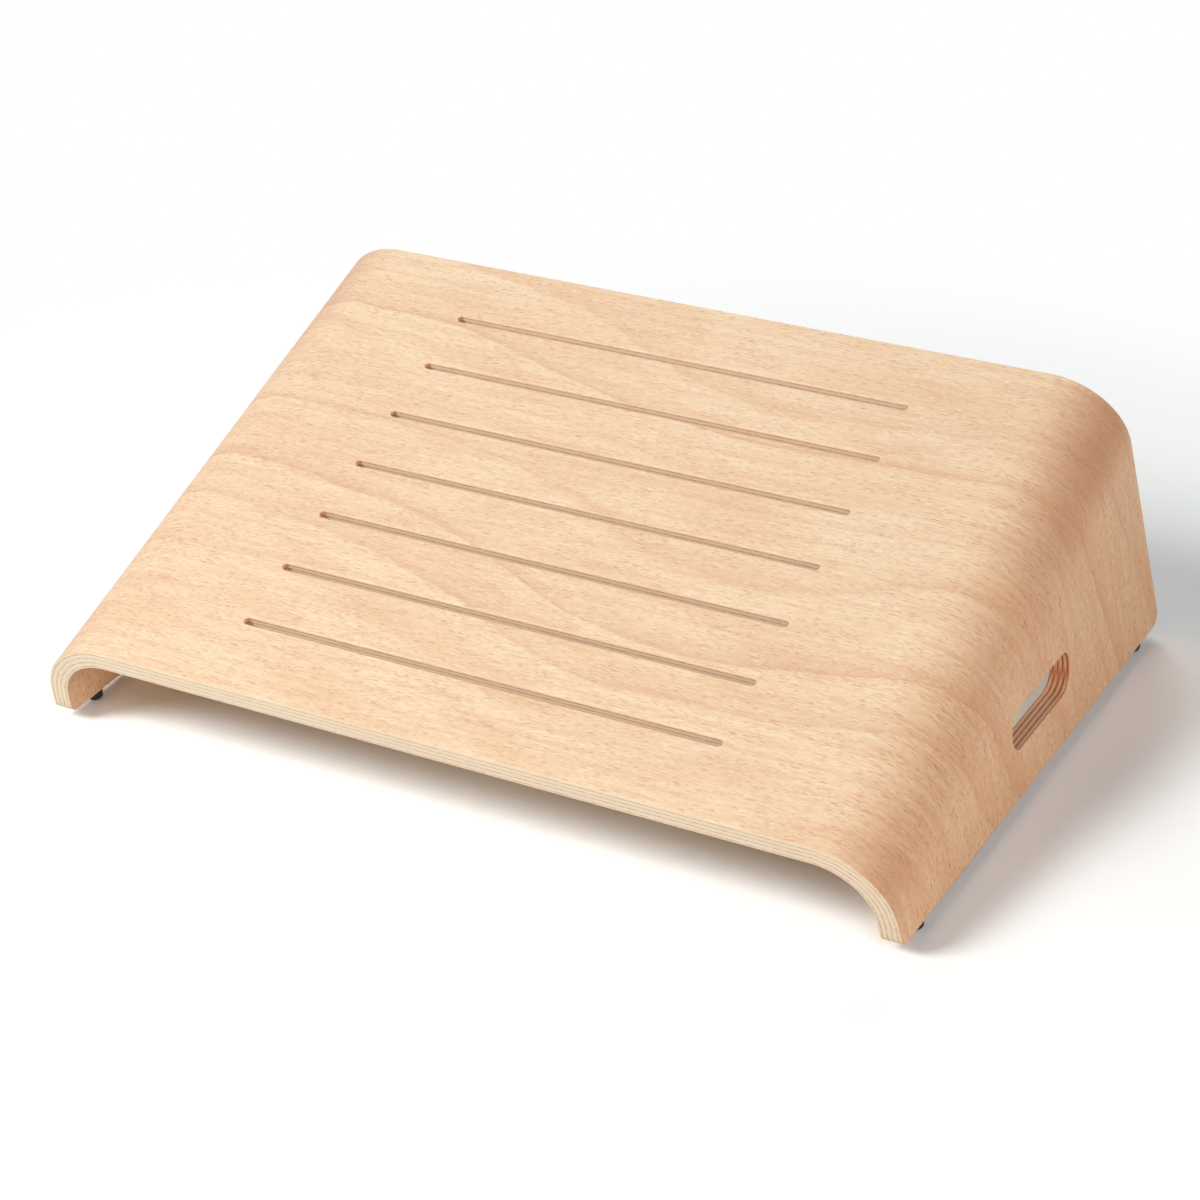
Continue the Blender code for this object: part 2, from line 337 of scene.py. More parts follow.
base_front, base_back = base_ends()
half_width = wall_outer_x(base_back, 0) + OVERCUT
front_top = side_place(OVERCUT * tan(FRONT_CUT_LEAN), OVERCUT)
back_top = side_place(TREAD_LENGTH, OVERCUT)
front_base = Vector((base_front, FOOT_HEIGHT))
back_base = Vector((base_back, FOOT_HEIGHT))
wedge = [front_top]
wedge += rounded_corner(front_base, front_top, back_base, CORNER_RADIUS)
wedge += rounded_corner(back_base, front_base, back_top, CORNER_RADIUS)
wedge.append(back_top)
across_all = Vector((2 * half_width, 0, 0))
saw = make_bar("saw", [[(-half_width, y, z) for y, z in wedge]], across_all)
print("base from", round(base_front, 4), "to", round(base_back, 4))

# %% [markdown]
# ## The router
#
# Slots and hand holes share one outline, a bar with round ends. The slot bits stand square to the
# tread. The hand hole's bit goes straight across and cuts both walls, and a thin drill makes the four
# blind holes for the feet.

# %% Make the router bits and the drill


def stadium(length, width):
    """A bar with round ends, centred on zero, its long way along the first axis."""
    radius = width / 2
    reach = length / 2 - radius
    points = []
    for centre, begin in ((reach, -pi / 2), (-reach, pi / 2)):
        for step in range(HOLE_END_STEPS + 1):
            angle = begin + pi * step / HOLE_END_STEPS
            points.append((centre + radius * cos(angle), radius * sin(angle)))
    return points


slot_places = [
    TREAD_LENGTH / 2 + (index - (SLOT_COUNT - 1) / 2) * SLOT_PITCH for index in range(SLOT_COUNT)
]
slot_outlines = []
for along in slot_places:
    points = [Vector((x, along + s, OVERCUT)) for x, s in stadium(SLOT_LENGTH, SLOT_WIDTH)]
    slot_outlines.append([slope_to_row @ point for point in points])
through = slope_to_row.to_3x3() @ Vector((0, 0, -(SHELL_THICKNESS + 2 * OVERCUT)))
slot_bits = make_bar("slot_bits", slot_outlines, through)

hole_middle = Vector(((base_front + base_back) / 2, FOOT_HEIGHT + HAND_HOLE_RISE))
hole_outline = []
for y, z in stadium(HAND_HOLE_LENGTH, HAND_HOLE_HEIGHT):
    hole_outline.append((-half_width, hole_middle.x + y, hole_middle.y + z))
hand_hole_bit = make_bar("hand_hole_bit", [hole_outline], across_all)

foot_places = {}
half_wall = SHELL_THICKNESS / cos(WALL_DRAFT) / 2
for end, y in (("front", base_front + FOOT_INSET), ("rear", base_back - FOOT_INSET)):
    x = wall_outer_x(y, FOOT_HEIGHT) - half_wall
    foot_places[f"foot_{end}_left"] = (-x, y)
    foot_places[f"foot_{end}_right"] = (x, y)

drill_outlines = []
drill_radius = STEM_DIAMETER / 2 + FIT_GAP
for x, y in foot_places.values():
    turns = [2 * pi * side / STEM_HOLE_SIDES for side in range(STEM_HOLE_SIDES)]
    ring = [(x + drill_radius * cos(a), y + drill_radius * sin(a)) for a in turns]
    drill_outlines.append([(*place, FOOT_HEIGHT - OVERCUT) for place in ring])
drill = make_bar("drill", drill_outlines, Vector((0, 0, OVERCUT + STEM_LENGTH + FIT_GAP)))
print("slots:", len(slot_outlines), "feet:", len(foot_places))

# %% [markdown]
# ## Cut the nine veneers
#
# Each veneer is its own piece, pressed and then cut by all the tools. The outer and the inner face
# are 1 mm thick, the seven between them 1.3 mm, and a 0.1 mm glue line parts them, which shows on a
# cut edge as a fine dark line.

# %% Press and cut
veneers = []
depth = 0.0
for number in range(1, VENEER_COUNT + 1):
    is_face = number in (1, VENEER_COUNT)
    thickness = FACE_VENEER if is_face else INNER_VENEER
    if is_face:
        kind = "outer_face" if number == 1 else "inner_face"
    else:
        kind = "cross" if number % 2 == 0 else "long"
    name = f"veneer_{number}_{kind}"
    veneer = press_veneer(name + "_fine", depth, thickness)
    cut(veneer, "INTERSECT", saw)
    for tool in (slot_bits, hand_hole_bit, drill):
        cut(veneer, "DIFFERENCE", tool)
    veneers.append((name, veneer))
    depth += thickness + GLUE_LINE
bpy.context.view_layer.update()
for name, veneer in veneers:
    apply_cuts(veneer)
for tool in (saw, slot_bits, hand_hole_bit, drill):
    bpy.data.objects.remove(tool, do_unlink=True)
print("faces of the outer veneer before its edges are eased:", len(veneers[0][1].data.polygons))

# %% [markdown]
# ## Ease the arrises
#
# An arris is the sharp line where a face meets a cut. Sandpaper takes it down to a radius of less
# than a millimetre, which is what catches the light along every edge of the real footrest. Only the
# bare side of the two face veneers has such edges, so the edges are found as those with one face on
# the bare side and one on a cut.

# %% Round the edges of the two face veneers
BARE_SIDE_FROM = 0.9           # as a cosine, how nearly a face of the bare side looks outward


def ease_arrises(piece, face_side):
    """Round the edges of a face veneer's bare side: 1 for its outer side, -1 for its inner."""
    shape = bmesh.new()
    shape.from_mesh(piece.data)
    shape.normal_update()
    bare = set()
    for face in shape.faces:
        look = slope_to_row.to_3x3() @ outward(row_to_slope @ face.calc_center_median())
        if face.normal.dot(look) * face_side > BARE_SIDE_FROM:
            bare.add(face)
    edges = [edge for edge in shape.edges if sum(face in bare for face in edge.link_faces) == 1]
    bmesh.ops.bevel(
        shape, geom=edges, offset=ARRIS, segments=ARRIS_STEPS, profile=0.5,
        affect="EDGES", clamp_overlap=True,
    )
    shape.to_mesh(piece.data)
    shape.free()
    return len(edges)


print("edges eased outside:", ease_arrises(veneers[0][1], 1))
print("edges eased inside:", ease_arrises(veneers[-1][1], -1))

# %% [markdown]
# ## Remember the flat sheet
#
# The wood shaders need to know which way the grain runs. So each point gets an attribute, "grain",
# with its place in the flat veneer: first along the fibres, then across them, then its depth in the
# stack. Fibres run across the footrest in the odd veneers and along it in the even ones. Each face
# also gets "end_grain", from 0 where the cut runs with the fibres to 1 where it goes square across
# them, because a cut across the fibres looks darker. "routed" says how much painted shade darkens a
# cut: 1 in the hand holes, much less along a slot, a good deal at its ends, and 0 where the saw went.

# %% Store the grain on each veneer
SKIN, EDGE = 0, 1              # the two material slots of a veneer
SKIN_FROM = 0.3                # as a cosine; most of an eased arris counts as skin too, a cut doesn't
CRISP_FROM = radians(32)       # a corner that turns more than this stays crisp
SLOT_WALL_SHADE = 0.15               # how much painted shade darkens a slot's wall, where a hand hole's is 1
SLOT_END_SHADE = 0.90           # the same at the very end of a slot


def fibre_direction(angle, side, runs_across):
    if runs_across:
        return Vector((side * cos(angle), 0, -sin(angle)))
    return Vector((0, 1, 0))


def slot_shade(place):
    """How much painted shade darkens a slot's wall at a place of the flat sheet, and 0 away from the
    slots.
    """
    across, along = abs(place.x), place.y
    if across > SLOT_LENGTH / 2 + ARRIS:
        return 0.0
    if not slot_places[0] - SLOT_WIDTH < along < slot_places[-1] + SLOT_WIDTH:
        return 0.0
    into_end = (across - (SLOT_LENGTH - SLOT_WIDTH) / 2) / (SLOT_WIDTH / 2)
    return SLOT_WALL_SHADE + (SLOT_END_SHADE - SLOT_WALL_SHADE) * min(max(into_end, 0.0), 1.0)


def store_grain(piece, number):
    mesh = piece.data
    runs_across = number % 2 == 1
    grain = mesh.attributes.new("grain", "FLOAT_VECTOR", "POINT")
    for vertex in mesh.vertices:
        place = flat_place(row_to_slope @ vertex.co)
        if not runs_across:
            place = Vector((place.y, place.x, place.z))
        grain.data[vertex.index].vector = place
    end_grain = mesh.attributes.new("end_grain", "FLOAT", "FACE")
    recess_shade = mesh.attributes.new("recess_shade", "FLOAT", "FACE")
    turned = row_to_slope.to_3x3()
    for face in mesh.polygons:
        centre = row_to_slope @ face.center
        normal = turned @ face.normal
        angle = bend_angle_at(centre)
        side = 1 if centre.x > 0 else -1
        fibres = fibre_direction(angle, side, runs_across)
        end_grain.data[face.index].value = abs(normal.dot(fibres))
        # How much painted shade darkens this face: all of it in a hand hole, some in a slot, none on a
        # sawn edge.
        hole_gap = hypot(face.center.y - hole_middle.x, face.center.z - hole_middle.y)
        in_hole = angle == BEND_ANGLE and hole_gap < HAND_HOLE_LENGTH / 2 + 2 * ARRIS
        recess_shade.data[face.index].value = 1.0 if in_hole else slot_shade(flat_place(centre))
        face.material_index = EDGE
        if number in (1, VENEER_COUNT) and abs(normal.dot(outward(centre))) > SKIN_FROM:
            face.material_index = SKIN


for number, (name, veneer) in enumerate(veneers, start=1):
    store_grain(veneer, number)
    veneer.data.shade_smooth()
    veneer.data.set_sharp_from_angle(angle=CRISP_FROM)
    weighting = veneer.modifiers.new("flat_faces_stay_flat", "WEIGHTED_NORMAL")
    weighting.mode = "FACE_AREA"
    weighting.keep_sharp = True
print("points in all veneers:", sum(len(veneer.data.vertices) for _, veneer in veneers))

# %% [markdown]
# ## The rubber feet
#
# Each foot is one moulding, turned round its own axis: a round head that touches the floor, and a
# stem that is pushed into the wood. A profile is drawn once and spun, as on a lathe.

# %% Turn the feet
FOOT_CRISP_FROM = radians(35)


def foot_profile():
    """(radius, z) of a foot, from the middle of its sole up to the end of its stem."""
    head = FOOT_DIAMETER / 2
    top = FOOT_HEIGHT - FIT_GAP
    points = [(0.0, 0.0)]
    for step in range(FOOT_ROUNDING_STEPS + 1):
        angle = pi / 2 * step / FOOT_ROUNDING_STEPS
        points.append((head - FOOT_ROUNDING * (1 - sin(angle)), FOOT_ROUNDING * (1 - cos(angle))))
    points += [(head, top), (STEM_DIAMETER / 2, top), (STEM_DIAMETER / 2, FOOT_HEIGHT + STEM_LENGTH)]
    points.append((0.0, FOOT_HEIGHT + STEM_LENGTH))
    return points


def turn_foot(name, x, y):
    shape = bmesh.new()
    rings = []
    for radius, z in foot_profile():
        if radius == 0:
            rings.append([shape.verts.new((x, y, z))])
            continue
        turns = [2 * pi * side / FOOT_SIDES for side in range(FOOT_SIDES)]
        rings.append([shape.verts.new((x + radius * cos(a), y + radius * sin(a), z)) for a in turns])
    for lower, upper in zip(rings, rings[1:]):
        for side in range(FOOT_SIDES):
            after = (side + 1) % FOOT_SIDES
            corners = [lower[side % len(lower)], lower[after % len(lower)]]
            corners += [upper[after % len(upper)], upper[side % len(upper)]]
            shape.faces.new(dict.fromkeys(corners))
    foot = make_object(name + "_fine", shape)
    foot.data.shade_smooth()
    foot.data.set_sharp_from_angle(angle=FOOT_CRISP_FROM)
    return foot


feet = [(name, turn_foot(name, x, y)) for name, (x, y) in foot_places.items()]
print("feet:", [name for name, foot in feet])

# %% [markdown]
# ## Shader helpers
#
# A material is a small graph of nodes. Typed out one link at a time it is hard to read, so one helper
# adds a node with its settings and its inputs, where an input is either a plain value or another
# node's output. The others are for the steps that come back in every material: a sum, a soft step,
# a mix of two colours, a relief, and a group.

# %% Helpers that build shader graphs


def feed(tree, socket, value):
    """Give an input another node's output, or a plain value."""
    if isinstance(value, bpy.types.NodeSocket):
        tree.links.new(value, socket)
    else:
        socket.default_value = value


def put(tree, kind, inputs=None, **settings):
    node = tree.nodes.new(kind)
    for name, value in settings.items():
        setattr(node, name, value)
    for name, value in (inputs or {}).items():
        feed(tree, node.inputs[name], value)
    return node


def calc(tree, operation, first, second=0.0, third=0.0):
    """One step of arithmetic, as an output."""
    node = put(tree, "ShaderNodeMath", {0: first, 1: second, 2: third}, operation=operation)
    return node.outputs[0]


def ease(tree, value, low, high):
    """0 below low, 1 above high and a soft step between them; high may be the smaller one."""
    inputs = {"Value": value, "From Min": low, "From Max": high}
    node = put(tree, "ShaderNodeMapRange", inputs, interpolation_type="SMOOTHSTEP")
    return node.outputs["Result"]


def blend_colour(tree, share, first, second):
    """The first colour where share is 0, the second where it is 1, and a mix between."""
    node = put(tree, "ShaderNodeMix", data_type="RGBA")
    live = {socket.name: socket for socket in node.inputs if socket.enabled}
    for name, value in (("Factor", share), ("A", first), ("B", second)):
        feed(tree, live[name], value)
    return next(socket for socket in node.outputs if socket.enabled)


def add_relief(tree, shader, height, strength, full_depth):
    """Let the light see a height that the mesh doesn't have."""
    inputs = {"Height": height, "Strength": strength, "Distance": full_depth}
    feed(tree, shader.inputs["Normal"], put(tree, "ShaderNodeBump", inputs).outputs["Normal"])


def begin_group(name, inputs, outputs):
    """A node group with its sockets; returns the group, its inputs and a way to set its outputs."""
    group = bpy.data.node_groups.new(name, "ShaderNodeTree")
    for label, kind in inputs:
        group.interface.new_socket(label, in_out="INPUT", socket_type=kind)
    for label, kind in outputs:
        group.interface.new_socket(label, in_out="OUTPUT", socket_type=kind)
    taken = group.nodes.new("NodeGroupInput")
    given = group.nodes.new("NodeGroupOutput")
    return group, taken.outputs, given.inputs


def place_group(tree, group, inputs):
    return put(tree, "ShaderNodeGroup", inputs, node_tree=group).outputs


NUMBER, VECTOR = "NodeSocketFloat", "NodeSocketVector"

# %% [markdown]
# ## Wood, first group: flecks
#
# Beech is known by its flecks, the cut ends of its rays: short dark dashes, all lying along the
# grain. Noise stretched along the grain would give streaks without ends. Voronoi cells give one dash
# to each cell instead. The cells are stretched, each has its own size of dash, and many have none.

# %% Group: ray flecks
DASH_LEAST, DASH_SPREAD = 0.20, 0.26         # half a dash's size, as a share of its cell
DASH_SOLID_TO = 0.40                         # from its middle out to here a dash is at full strength
FAINTEST_DASH = 0.4


def stretched_place(tree, taken):
    """A place in Lengths along the grain and Widths across it, in other wood for another Seed."""
    apart = put(tree, "ShaderNodeSeparateXYZ", {0: taken["Grain"]}).outputs
    return put(tree, "ShaderNodeCombineXYZ", {
        "X": calc(tree, "DIVIDE", apart["X"], taken["Length"]),
        "Y": calc(tree, "DIVIDE", apart["Y"], taken["Width"]),
        "Z": calc(tree, "ADD", calc(tree, "DIVIDE", apart["Z"], taken["Width"]), taken["Seed"]),
    }).outputs[0]


fleck_group, taken, given = begin_group(
    "ray_flecks",
    [("Grain", VECTOR), ("Length", NUMBER), ("Width", NUMBER), ("Share", NUMBER), ("Seed", NUMBER)],
    [("Fleck", NUMBER)],
)
tree = fleck_group
cells = stretched_place(tree, taken)
voronoi = put(tree, "ShaderNodeTexVoronoi", {"Vector": cells, "Scale": 1.0, "Randomness": 1.0})
chance = put(tree, "ShaderNodeSeparateColor", {0: voronoi.outputs["Color"]}).outputs
size = calc(tree, "MULTIPLY_ADD", chance["Green"], DASH_SPREAD, DASH_LEAST)
inside = ease(tree, calc(tree, "DIVIDE", voronoi.outputs["Distance"], size), 1.0, DASH_SOLID_TO)
present = calc(tree, "LESS_THAN", chance["Red"], taken["Share"])
strength = calc(tree, "MULTIPLY_ADD", chance["Blue"], 1.0 - FAINTEST_DASH, FAINTEST_DASH)
fleck = calc(tree, "MULTIPLY", calc(tree, "MULTIPLY", inside, present), strength)
tree.links.new(fleck, given["Fleck"])
print("group made:", fleck_group.name)

# %% [markdown]
# ## Wood, second group: growth rings
#
# A peeled or sliced veneer meets each year's growth at a slant, so a year shows as a thin line that
# fades slowly to one side. Years are wide and narrow without a rule, so a noise would look wrong:
# they are listed here by where their lines start at the sheet's left edge. From there a line runs
# with the grain, sags to a valley right of the middle and climbs again. The group works the other
# way round: it pushes each place up by the sag there, and then looks the place up in the list.

# %% Group: growth rings
RING_PLACES = (
    -0.040, -0.016, 0.012, 0.030, 0.046, 0.074, 0.092, 0.128, 0.162, 0.212, 0.234, 0.250, 0.277,
    0.299, 0.352,
)
RING_DEPTHS = (0.6, 0.7, 0.5, 0.4, 0.8, 0.6, 0.8, 1.0, 1.0, 1.0, 0.9, 0.8, 0.8, 1.0, 0.9)
RING_LOW, RING_HIGH = -0.060, 0.440          # the stretch of sheet that the list covers
RING_SHARP_SIDE = 0.0016
VALLEY = 0.080                               # where across the sheet the rings sag the most
VALLEY_LEFT, VALLEY_RIGHT = 0.140, 0.250     # how far the valley reaches to each side
SAG = 0.030                                  # how deep the valley is where it is shallowest
FRONT_SAG, FRONT_FROM = 0.036, (0.215, 0.135)           # how much deeper towards the front edge
BACK_SAG, BACK_FROM = 0.045, (0.225, 0.295)             # and towards the back edge
WANDER_ALONG, WANDER_ACROSS = 11.0, 24.0                # waves of wander to a metre
TONE_ALONG, TONE_ACROSS = 9.0, 45.0                     # changes of tone to a metre
LINE_SHARPNESS = 7.0

ring_group, taken, given = begin_group(
    "growth_rings",
    [("Grain", VECTOR), ("Wander", NUMBER), ("Shift", NUMBER), ("Seed", NUMBER)],
    [("Line", NUMBER), ("Year", NUMBER), ("Tone", NUMBER)],
)
tree = ring_group
apart = put(tree, "ShaderNodeSeparateXYZ", {0: taken["Grain"]}).outputs
from_valley = calc(tree, "SUBTRACT", apart["X"], VALLEY)
to_right = calc(tree, "GREATER_THAN", from_valley, 0.0)
valley_width = calc(tree, "MULTIPLY_ADD", to_right, VALLEY_RIGHT - VALLEY_LEFT, VALLEY_LEFT)
reach = calc(tree, "DIVIDE", from_valley, valley_width)
dip = calc(tree, "EXPONENT", calc(tree, "MULTIPLY", calc(tree, "MULTIPLY", reach, reach), -1.0))
low_sag = calc(tree, "MULTIPLY_ADD", ease(tree, apart["Y"], *FRONT_FROM), FRONT_SAG, SAG)
sag = calc(tree, "MULTIPLY_ADD", ease(tree, apart["Y"], *BACK_FROM), BACK_SAG, low_sag)
slow_place = put(tree, "ShaderNodeCombineXYZ", {
    "X": calc(tree, "MULTIPLY", apart["X"], WANDER_ALONG),
    "Y": calc(tree, "MULTIPLY", apart["Y"], WANDER_ACROSS),
    "Z": taken["Seed"],
}).outputs[0]
slow = put(tree, "ShaderNodeTexNoise", {"Vector": slow_place, "Scale": 1.0, "Detail": 3.0}).outputs[0]
pushed = calc(tree, "MULTIPLY", calc(tree, "SUBTRACT", slow, 0.5), taken["Wander"])
sagged = calc(tree, "MULTIPLY_ADD", dip, sag, calc(tree, "ADD", apart["Y"], taken["Shift"]))
across = calc(tree, "ADD", sagged, pushed)
in_list = calc(tree, "DIVIDE", calc(tree, "SUBTRACT", across, RING_LOW), RING_HIGH - RING_LOW)
years = put(tree, "ShaderNodeValToRGB", {"Fac": in_list})
stops = years.color_ramp.elements
stops[0].color = (0, 0, 0, 1)
stops[1].color = (0, 0, 0, 1)
for place, depth in zip(RING_PLACES, RING_DEPTHS):
    at = (place - RING_LOW) / (RING_HIGH - RING_LOW)
    before = at - RING_SHARP_SIDE / (RING_HIGH - RING_LOW)
    stops.new(before).color = (0, 0, 0, 1)
    stops.new(at).color = (depth, depth, depth, 1)
year = years.outputs["Color"]
tree.links.new(calc(tree, "POWER", year, LINE_SHARPNESS), given["Line"])
tree.links.new(year, given["Year"])
tone_place = put(tree, "ShaderNodeCombineXYZ", {
    "X": calc(tree, "MULTIPLY", apart["X"], TONE_ALONG),
    "Y": calc(tree, "MULTIPLY", across, TONE_ACROSS),
    "Z": calc(tree, "ADD", taken["Seed"], 4.0),
}).outputs[0]
tone = put(tree, "ShaderNodeTexNoise", {"Vector": tone_place, "Scale": 1.0, "Detail": 2.0}).outputs[0]
tree.links.new(tone, given["Tone"])
print("rings listed:", len(RING_PLACES), "stops:", len(stops))

# %% [markdown]
# ## Wood, third group: fibres
#
# Under the flecks lies a fine texture of fibres and pores, drawn out along the grain. A noise that
# is stretched that way gives it. The same noise, made longer and wider, gives the broader bands and
# the patches where flecks crowd together, so it sits in a group, and each material says how long and
# how wide it is.

# %% Group: fibres
fibre_group, taken, given = begin_group(
    "fibres",
    [("Grain", VECTOR), ("Length", NUMBER), ("Width", NUMBER), ("Seed", NUMBER)],
    [("Fibre", NUMBER)],
)
tree = fibre_group
fibre = put(tree, "ShaderNodeTexNoise", {
    "Vector": stretched_place(tree, taken), "Scale": 1.0, "Detail": 3.0, "Roughness": 0.6,
})
tree.links.new(fibre.outputs[0], given["Fibre"])
print("group made:", fibre_group.name)

# %% [markdown]
# ## The face veneers
#
# The face is what the eye sees first: pale cream beech, a little pinker in its darker bands, under a
# clear satin lacquer. The colour is built in layers, as a painter would: the two tones of the wood,
# the ring lines, the fibres, then the flecks. Towards its sides the sheet is cut nearer to the rays,
# so the flecks are stronger on the bends and the walls than on the tread. Along the bends the colour
# is darkened as painted shade, most of all near the back and the front edge. The lacquer fills the
# pores, so the relief is slight.

# %% Material: beech face
CREAM = (0.970, 0.770, 0.540, 1.0)
TAN = (0.925, 0.675, 0.452, 1.0)
RING_LINE = (0.740, 0.425, 0.270, 1.0)
FLECK_AND_SHADE = (0.560, 0.270, 0.150, 1.0)
PALE_FLECK = (1.000, 0.850, 0.650, 1.0)
WOOD_GLOSS = 0.3               # the shader's specular level; a rubbed satin lacquer shines little
SIDES = (0.19, 0.26)           # from the middle, where the stronger flecks set in
BEND_SHADE_AND_BANDS_RISE = (HALF_FLAT + 0.005, HALF_FLAT + 0.039)        # from the middle, where painted shade and stronger bands set in on a bend
BEND_SHADE_AND_BANDS_FALL = (HALF_FLAT + 0.080, HALF_FLAT + 0.045)         # from the middle, where they fade out again on the way back
BACK_SHADE_RANGE = (0.19, 0.33)    # up the slope, where the painted shade grows towards the back
FRONT_SHADE_RANGE = (0.055, 0.010)
BEND_SHADE_STRENGTH, BACK_SHADE_STRENGTH, FRONT_SHADE_STRENGTH = 0.15, 0.38, 0.22    # how much painted shade lies along a bend, and what back and front add

# From where to where in its noise each of these sets in. A noise lies between 0 and 1, round 0.5.
TONE_RANGE, BAND_RANGE, FIBRE_RANGE = (0.38, 0.64), (0.40, 0.68), (0.40, 0.66)
CROWD_RANGE = (0.35, 0.62)
FEWEST_FLECKS, MORE_FLECKS = 0.35, 0.60      # the share of cells with a fleck, and what a crowd adds

# How strongly each layer covers those below it, and what the bends or the sides add to that.
YEAR_SHARE, LINE_SHARE, PALE_SHARE = 0.40, 0.65, 0.70
BAND_SHARE, FIBRE_SHARE, FLECK_SHARE = 0.34, 0.46, 0.66
BAND_MORE, FIBRE_MORE, FLECK_MORE = 0.16, 0.08, 0.22

FACE_ROUGHNESS, FIBRE_ROUGHNESS, FLECK_ROUGHNESS = 0.42, 0.10, 0.10
FIBRE_RELIEF, FLECK_RELIEF = 0.5, -0.6       # fibres stand up and flecks sink in, both under the lacquer
RELIEF_DEPTH = 0.0001


def begin_material(name):
    material = bpy.data.materials.new(name)
    material.use_nodes = True
    shader = material.node_tree.nodes["Principled BSDF"]
    return material, material.node_tree, shader


def make_face_material(name, seed, shift):
    material, tree, shader = begin_material(name)
    grain = put(tree, "ShaderNodeAttribute", attribute_name="grain").outputs["Vector"]
    sheet_place = put(tree, "ShaderNodeSeparateXYZ", {0: grain}).outputs
    from_middle = calc(tree, "ABSOLUTE", sheet_place["X"])
    at_sides = ease(tree, from_middle, *SIDES)
    outer_part = ease(tree, from_middle, *BEND_SHADE_AND_BANDS_RISE)
    on_bend = calc(tree, "MULTIPLY", outer_part, ease(tree, from_middle, *BEND_SHADE_AND_BANDS_FALL))
    painted_shade = calc(tree, "MULTIPLY_ADD", ease(tree, sheet_place["Y"], *BACK_SHADE_RANGE), BACK_SHADE_STRENGTH, BEND_SHADE_STRENGTH)
    painted_shade = calc(tree, "MULTIPLY_ADD", ease(tree, sheet_place["Y"], *FRONT_SHADE_RANGE), FRONT_SHADE_STRENGTH, painted_shade)
    rings = place_group(tree, ring_group, {
        "Grain": grain, "Wander": 0.016, "Shift": shift, "Seed": seed,
    })
    fibres = place_group(tree, fibre_group, {
        "Grain": grain, "Length": 0.0080, "Width": 0.00075, "Seed": seed,
    })["Fibre"]
    bands = place_group(tree, fibre_group, {
        "Grain": grain, "Length": 0.060, "Width": 0.0045, "Seed": seed + 2.0,
    })["Fibre"]
    patches = place_group(tree, fibre_group, {
        "Grain": grain, "Length": 0.035, "Width": 0.009, "Seed": seed + 6.0,
    })["Fibre"]
    crowd = ease(tree, patches, *CROWD_RANGE)
    crowding = calc(tree, "MULTIPLY_ADD", crowd, MORE_FLECKS, FEWEST_FLECKS)
    flecks = place_group(tree, fleck_group, {
        "Grain": grain, "Length": 0.0074, "Width": 0.00085, "Share": crowding, "Seed": seed,
    })["Fleck"]
    small_flecks = place_group(tree, fleck_group, {
        "Grain": grain, "Length": 0.0050, "Width": 0.00060, "Share": crowding, "Seed": seed + 9.0,
    })["Fleck"]
    pale_flecks = place_group(tree, fleck_group, {
        "Grain": grain, "Length": 0.0060, "Width": 0.00085, "Share": 0.8, "Seed": seed + 17.0,
    })["Fleck"]
    colour = blend_colour(tree, ease(tree, rings["Tone"], *TONE_RANGE), CREAM, TAN)
    colour = blend_colour(tree, calc(tree, "MULTIPLY", rings["Year"], YEAR_SHARE), colour, TAN)
    colour = blend_colour(tree, calc(tree, "MULTIPLY", rings["Line"], LINE_SHARE), colour, RING_LINE)
    band_strength = calc(tree, "MULTIPLY_ADD", on_bend, BAND_MORE, BAND_SHARE)
    band_share = calc(tree, "MULTIPLY", ease(tree, bands, *BAND_RANGE), band_strength)
    colour = blend_colour(tree, band_share, colour, RING_LINE)
    fibre_strength = calc(tree, "MULTIPLY_ADD", at_sides, FIBRE_MORE, FIBRE_SHARE)
    fibre_share = calc(tree, "MULTIPLY", ease(tree, fibres, *FIBRE_RANGE), fibre_strength)
    colour = blend_colour(tree, fibre_share, colour, RING_LINE)
    colour = blend_colour(tree, calc(tree, "MULTIPLY", pale_flecks, PALE_SHARE), colour, PALE_FLECK)
    # Painted shade: the bends are darkened towards the colour of the flecks, most near the back and the
    # front edge.
    colour = blend_colour(tree, calc(tree, "MULTIPLY", on_bend, painted_shade), colour, FLECK_AND_SHADE)
    fleck_strength = calc(tree, "MULTIPLY_ADD", at_sides, FLECK_MORE, FLECK_SHARE)
    for dashes in (small_flecks, flecks):
        share = calc(tree, "MULTIPLY", dashes, fleck_strength)
        colour = blend_colour(tree, share, colour, FLECK_AND_SHADE)
    feed(tree, shader.inputs["Base Color"], colour)
    feed(tree, shader.inputs["Specular IOR Level"], WOOD_GLOSS)
    roughness = calc(tree, "MULTIPLY_ADD", fibres, FIBRE_ROUGHNESS, FACE_ROUGHNESS)
    roughness = calc(tree, "MULTIPLY_ADD", flecks, FLECK_ROUGHNESS, roughness)
    feed(tree, shader.inputs["Roughness"], roughness)
    relief = calc(tree, "MULTIPLY", fibres, FIBRE_RELIEF)
    relief = calc(tree, "MULTIPLY_ADD", flecks, FLECK_RELIEF, relief)
    add_relief(tree, shader, relief, strength=0.35, full_depth=RELIEF_DEPTH)
    return material


outer_face = make_face_material("beech_outer_face", 0.0, 0.0)
inner_face = make_face_material("beech_inner_face", 31.0, 0.023)
print("face materials:", outer_face.name, inner_face.name)
